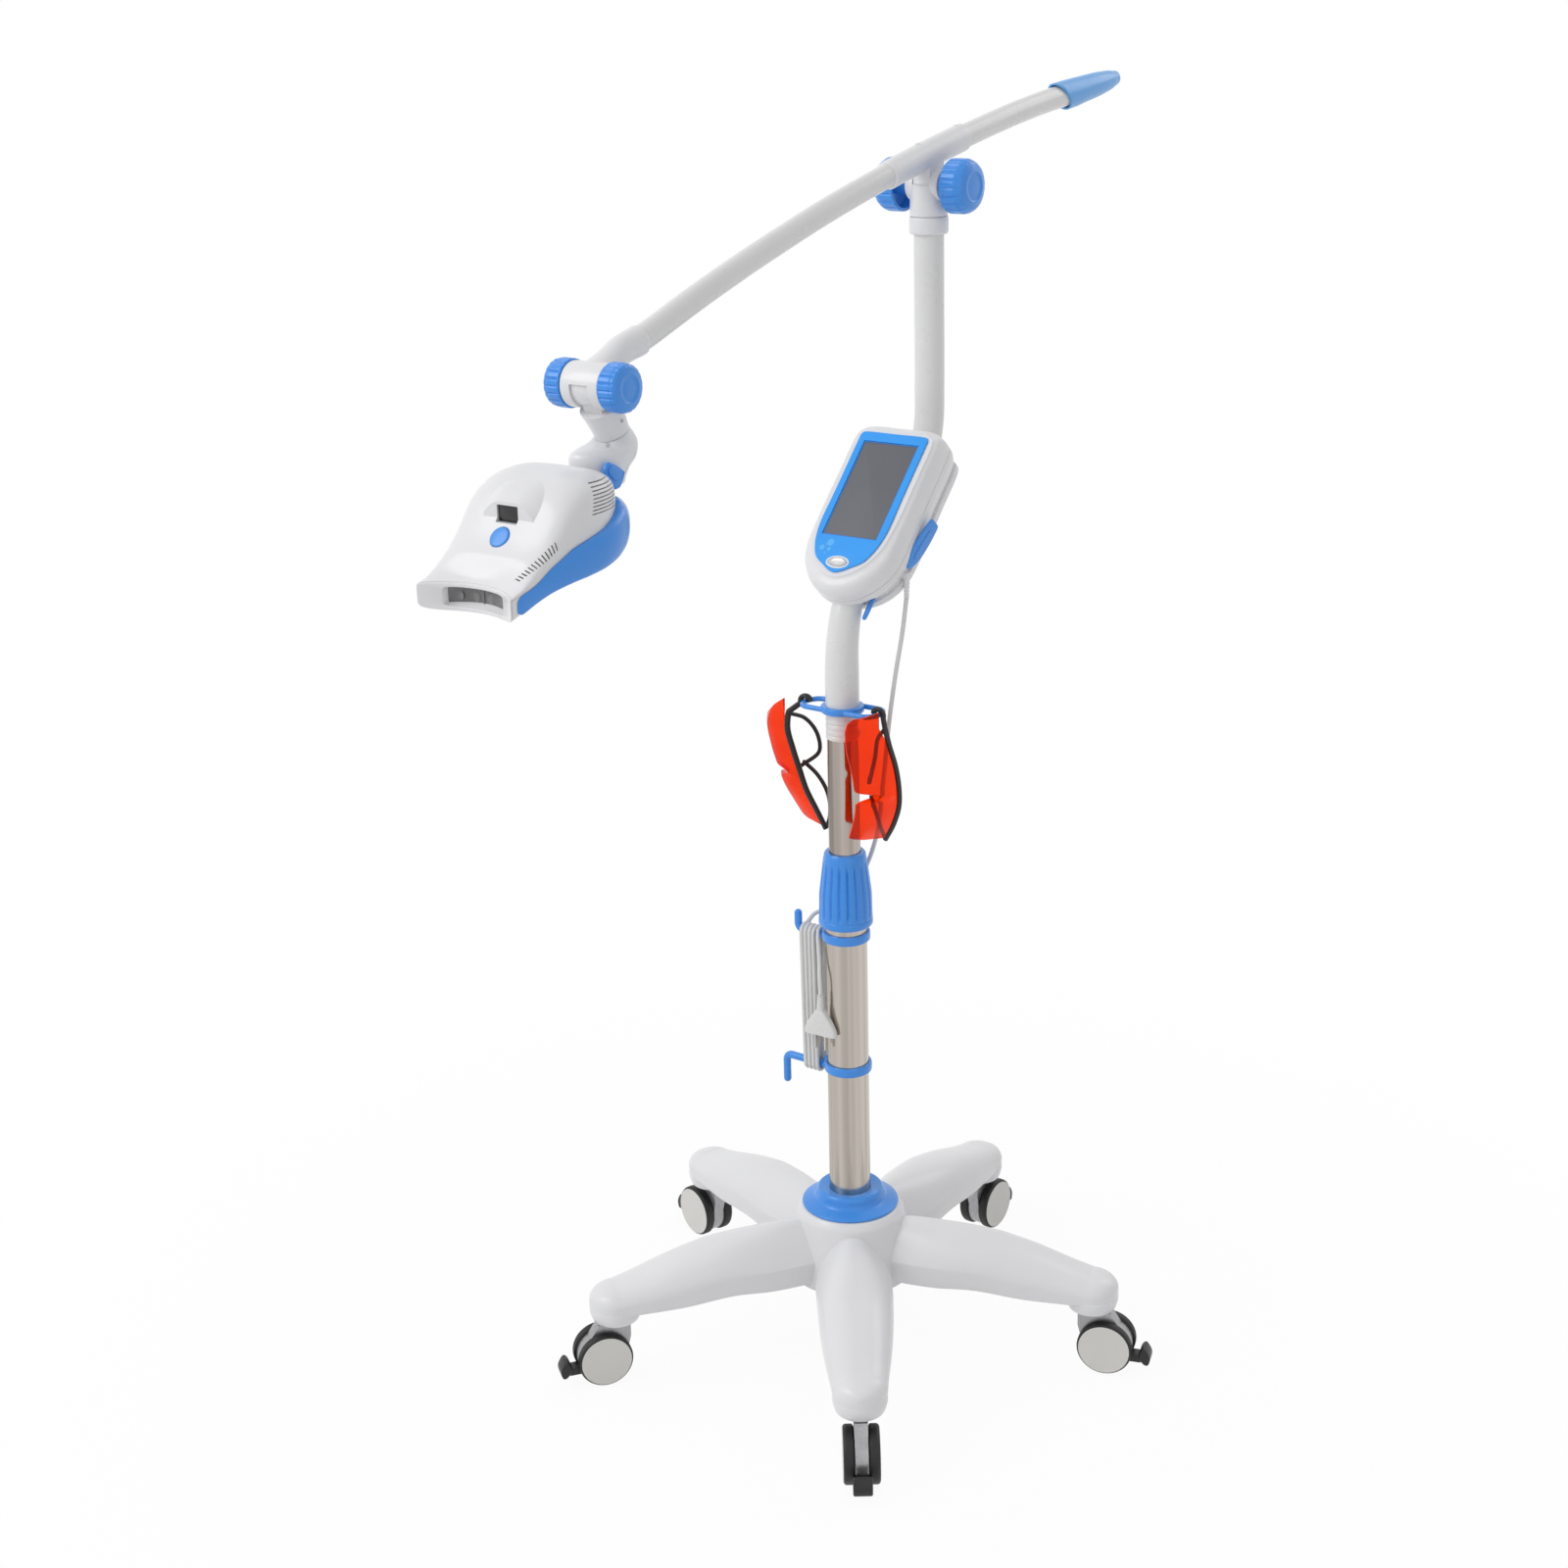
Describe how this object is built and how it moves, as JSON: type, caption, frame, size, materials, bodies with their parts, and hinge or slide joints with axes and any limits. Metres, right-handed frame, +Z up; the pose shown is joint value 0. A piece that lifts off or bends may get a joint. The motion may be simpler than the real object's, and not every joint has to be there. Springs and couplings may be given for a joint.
{
  "type": "teeth whitening lamp",
  "caption": "Dental whitening lamp: a swivelling, tilting lamp head on a counterbalanced arm, on a mast of adjustable height with a control box, goggle holder and star base on casters.",
  "frame": {"origin": "on the floor below the middle of the lamp without its cord", "axes": "+Z up; -Y towards the lamp head, so +X is to the left of a patient who faces it"},
  "size_m": [0.6506, 1.1218, 1.3422],
  "materials": {
    "white_plastic": "smooth satin white moulding",
    "blue_plastic": "smooth satin blue moulding",
    "black_plastic": "matt black",
    "tyre_rubber": "black tyre with a grey disc cover",
    "silver_plastic": "brushed grey",
    "brushed_stainless": "brushed along the pole",
    "orange_lens": "clear orange",
    "lcd_glass": "grey display behind a clear cover",
    "dark_window": "dark clear cover",
    "circuit_board": "green board with its parts",
    "pale_grey_cord": "smooth grey sheath",
    "clear_lens": "clear window"
  },
  "bodies": {
    "stand": {"star_base": "white_plastic", "base_collar": "blue_plastic", "outer_pole": "brushed_stainless", "cord_hook_upper": "blue_plastic", "cord_hook_lower": "blue_plastic", "cord_winding": "pale_grey_cord", "mains_plug": "pale_grey_cord"},
    "height_collar": {"height_collar": "blue_plastic"},
    "mast": {"inner_pole": "brushed_stainless", "post_tube": "white_plastic", "goggle_holder": "blue_plastic", "box_front_shell": "white_plastic", "box_rear_shell": "white_plastic", "box_bezel": "blue_plastic", "lcd_module": "lcd_glass", "grip_pad_left": "blue_plastic", "grip_pad_right": "blue_plastic", "grip_loop": "blue_plastic", "power_board": "circuit_board", "post_collar": "white_plastic", "mains_cord": "pale_grey_cord"},
    "power_button": {"power_button": "brushed_stainless"},
    "goggles_left": {"goggles_left_frame": "black_plastic", "goggles_left_lens": "orange_lens"},
    "goggles_right": {"goggles_right_frame": "black_plastic", "goggles_right_lens": "orange_lens"},
    "swivel_head": {"swivel_head": "white_plastic"},
    "arm": {"arm_saddle": "white_plastic", "arm_tube": "white_plastic", "arm_end_cap": "blue_plastic", "arm_socket": "white_plastic"},
    "top_knob_left": {"top_knob_left": "blue_plastic"},
    "top_knob_right": {"top_knob_right": "blue_plastic"},
    "yoke": {"yoke": "white_plastic"},
    "head_knob_left": {"head_knob_left": "blue_plastic"},
    "head_knob_right": {"head_knob_right": "blue_plastic"},
    "elbow": {"elbow": "white_plastic"},
    "wing_lever": {"wing_lever": "blue_plastic"},
    "lamp_head": {"head_top_shell": "white_plastic", "head_bottom_shell": "white_plastic", "head_trim": "blue_plastic", "display_window": "dark_window", "led_lens": "clear_lens", "led_engine": "circuit_board"},
    "head_button": {"head_button": "blue_plastic"},
    "caster_1": {"caster_1_housing": "silver_plastic"},
    "caster_1_wheels": {"caster_1_wheels": "tyre_rubber"},
    "caster_1_brake": {"caster_1_brake": "black_plastic"},
    "caster_2": {"caster_2_housing": "silver_plastic"},
    "caster_2_wheels": {"caster_2_wheels": "tyre_rubber"},
    "caster_2_brake": {"caster_2_brake": "black_plastic"},
    "caster_3": {"caster_3_housing": "silver_plastic"},
    "caster_3_wheels": {"caster_3_wheels": "tyre_rubber"},
    "caster_3_brake": {"caster_3_brake": "black_plastic"},
    "caster_4": {"caster_4_housing": "silver_plastic"},
    "caster_4_wheels": {"caster_4_wheels": "tyre_rubber"},
    "caster_4_brake": {"caster_4_brake": "black_plastic"},
    "caster_5": {"caster_5_housing": "silver_plastic"},
    "caster_5_wheels": {"caster_5_wheels": "tyre_rubber"},
    "caster_5_brake": {"caster_5_brake": "black_plastic"}
  },
  "joints": [
    {"name": "height_collar_twist", "type": "hinge", "parent": "stand", "child": "height_collar", "pos_m": [0, -0.00931, 0.535], "axis": [0, 0, 1], "range_deg": [-90, 0]},
    {"name": "mast_height", "type": "slide", "parent": "stand", "child": "mast", "axis": [0, 0, 1], "range_m": [0, 0.2], "deforming": ["mains_cord"]},
    {"name": "power_button_press", "type": "slide", "parent": "mast", "child": "power_button", "axis": [0, 0.7169, -0.6972], "range_m": [0, 0.0015], "stiffness_N_per_m": 300, "springref_m": -0.001},
    {"name": "goggles_left_lift", "type": "slide", "parent": "mast", "child": "goggles_left", "axis": [0, 0, 1], "range_m": [0, 0.014]},
    {"name": "goggles_right_lift", "type": "slide", "parent": "mast", "child": "goggles_right", "axis": [0, 0, 1], "range_m": [0, 0.014]},
    {"name": "arm_swivel", "type": "hinge", "parent": "mast", "child": "swivel_head", "pos_m": [0, 0.16069, 1.2168], "axis": [0, 0, 1], "range_deg": [-60, 60]},
    {"name": "arm_tilt", "type": "hinge", "parent": "swivel_head", "child": "arm", "pos_m": [0, 0.16069, 1.2475], "axis": [1, 0, 0], "range_deg": [-20, 20]},
    {"name": "top_knob_left_twist", "type": "hinge", "parent": "swivel_head", "child": "top_knob_left", "pos_m": [-0.04, 0.16069, 1.2475], "axis": [1, 0, 0], "range_deg": [0, 90]},
    {"name": "top_knob_right_twist", "type": "hinge", "parent": "swivel_head", "child": "top_knob_right", "pos_m": [0.04, 0.16069, 1.2475], "axis": [1, 0, 0], "range_deg": [0, 90]},
    {"name": "yoke_tilt", "type": "hinge", "parent": "arm", "child": "yoke", "pos_m": [0, -0.38181, 1.1234], "axis": [1, 0, 0], "range_deg": [-60, 9]},
    {"name": "head_knob_left_twist", "type": "hinge", "parent": "arm", "child": "head_knob_left", "pos_m": [-0.03, -0.38181, 1.1234], "axis": [1, 0, 0], "range_deg": [0, 90]},
    {"name": "head_knob_right_twist", "type": "hinge", "parent": "arm", "child": "head_knob_right", "pos_m": [0.03, -0.38181, 1.1234], "axis": [1, 0, 0], "range_deg": [0, 90]},
    {"name": "elbow_turn", "type": "hinge", "parent": "yoke", "child": "elbow", "pos_m": [0, -0.35914, 1.07917], "axis": [0, 0.456, -0.89], "range_deg": [-90, 90]},
    {"name": "wing_lever_turn", "type": "hinge", "parent": "elbow", "child": "wing_lever", "pos_m": [0.0245, -0.38531, 1.045], "axis": [1, 0, 0], "range_deg": [-40, 0]},
    {"name": "head_tilt", "type": "hinge", "parent": "elbow", "child": "lamp_head", "pos_m": [0, -0.38531, 1.045], "axis": [1, 0, 0], "range_deg": [0, 35]},
    {"name": "start_button_press", "type": "slide", "parent": "lamp_head", "child": "head_button", "axis": [0, 0.7502, -0.6612], "range_m": [0, 0.0012], "stiffness_N_per_m": 300, "springref_m": -0.001},
    {"name": "caster_1_swivel", "type": "hinge", "parent": "stand", "child": "caster_1", "pos_m": [0, 0.26269, 0.072], "axis": [0, 0, 1], "continuous": true},
    {"name": "caster_1_roll", "type": "hinge", "parent": "caster_1", "child": "caster_1_wheels", "pos_m": [0, 0.28049, 0.03022], "axis": [-1, 0, 0], "continuous": true},
    {"name": "caster_1_brake_press", "type": "hinge", "parent": "caster_1", "child": "caster_1_brake", "pos_m": [0, 0.30319, 0.018], "axis": [-1, 0, 0], "range_deg": [0, 8]},
    {"name": "caster_2_swivel", "type": "hinge", "parent": "stand", "child": "caster_2", "pos_m": [-0.25869, 0.07475, 0.072], "axis": [0, 0, 1], "continuous": true},
    {"name": "caster_2_roll", "type": "hinge", "parent": "caster_2", "child": "caster_2_wheels", "pos_m": [-0.27562, 0.08024, 0.03022], "axis": [-0.309, -0.9511, 0], "continuous": true},
    {"name": "caster_2_brake_press", "type": "hinge", "parent": "caster_2", "child": "caster_2_brake", "pos_m": [-0.2972, 0.08726, 0.018], "axis": [-0.309, -0.9511, 0], "range_deg": [0, 8]},
    {"name": "caster_3_swivel", "type": "hinge", "parent": "stand", "child": "caster_3", "pos_m": [-0.15988, -0.22936, 0.072], "axis": [0, 0, 1], "continuous": true},
    {"name": "caster_3_roll", "type": "hinge", "parent": "caster_3", "child": "caster_3_wheels", "pos_m": [-0.17034, -0.24376, 0.03022], "axis": [0.809, -0.5878, 0], "continuous": true},
    {"name": "caster_3_brake_press", "type": "hinge", "parent": "caster_3", "child": "caster_3_brake", "pos_m": [-0.18368, -0.26213, 0.018], "axis": [0.809, -0.5878, 0], "range_deg": [0, 8]},
    {"name": "caster_4_swivel", "type": "hinge", "parent": "stand", "child": "caster_4", "pos_m": [0.15988, -0.22936, 0.072], "axis": [0, 0, 1], "continuous": true},
    {"name": "caster_4_roll", "type": "hinge", "parent": "caster_4", "child": "caster_4_wheels", "pos_m": [0.17034, -0.24376, 0.03022], "axis": [0.809, 0.5878, 0], "continuous": true},
    {"name": "caster_4_brake_press", "type": "hinge", "parent": "caster_4", "child": "caster_4_brake", "pos_m": [0.18368, -0.26213, 0.018], "axis": [0.809, 0.5878, 0], "range_deg": [0, 8]},
    {"name": "caster_5_swivel", "type": "hinge", "parent": "stand", "child": "caster_5", "pos_m": [0.25869, 0.07475, 0.072], "axis": [0, 0, 1], "continuous": true},
    {"name": "caster_5_roll", "type": "hinge", "parent": "caster_5", "child": "caster_5_wheels", "pos_m": [0.27562, 0.08024, 0.03022], "axis": [-0.309, 0.9511, 0], "continuous": true},
    {"name": "caster_5_brake_press", "type": "hinge", "parent": "caster_5", "child": "caster_5_brake", "pos_m": [0.2972, 0.08726, 0.018], "axis": [-0.309, 0.9511, 0], "range_deg": [0, 8]}
  ]
}
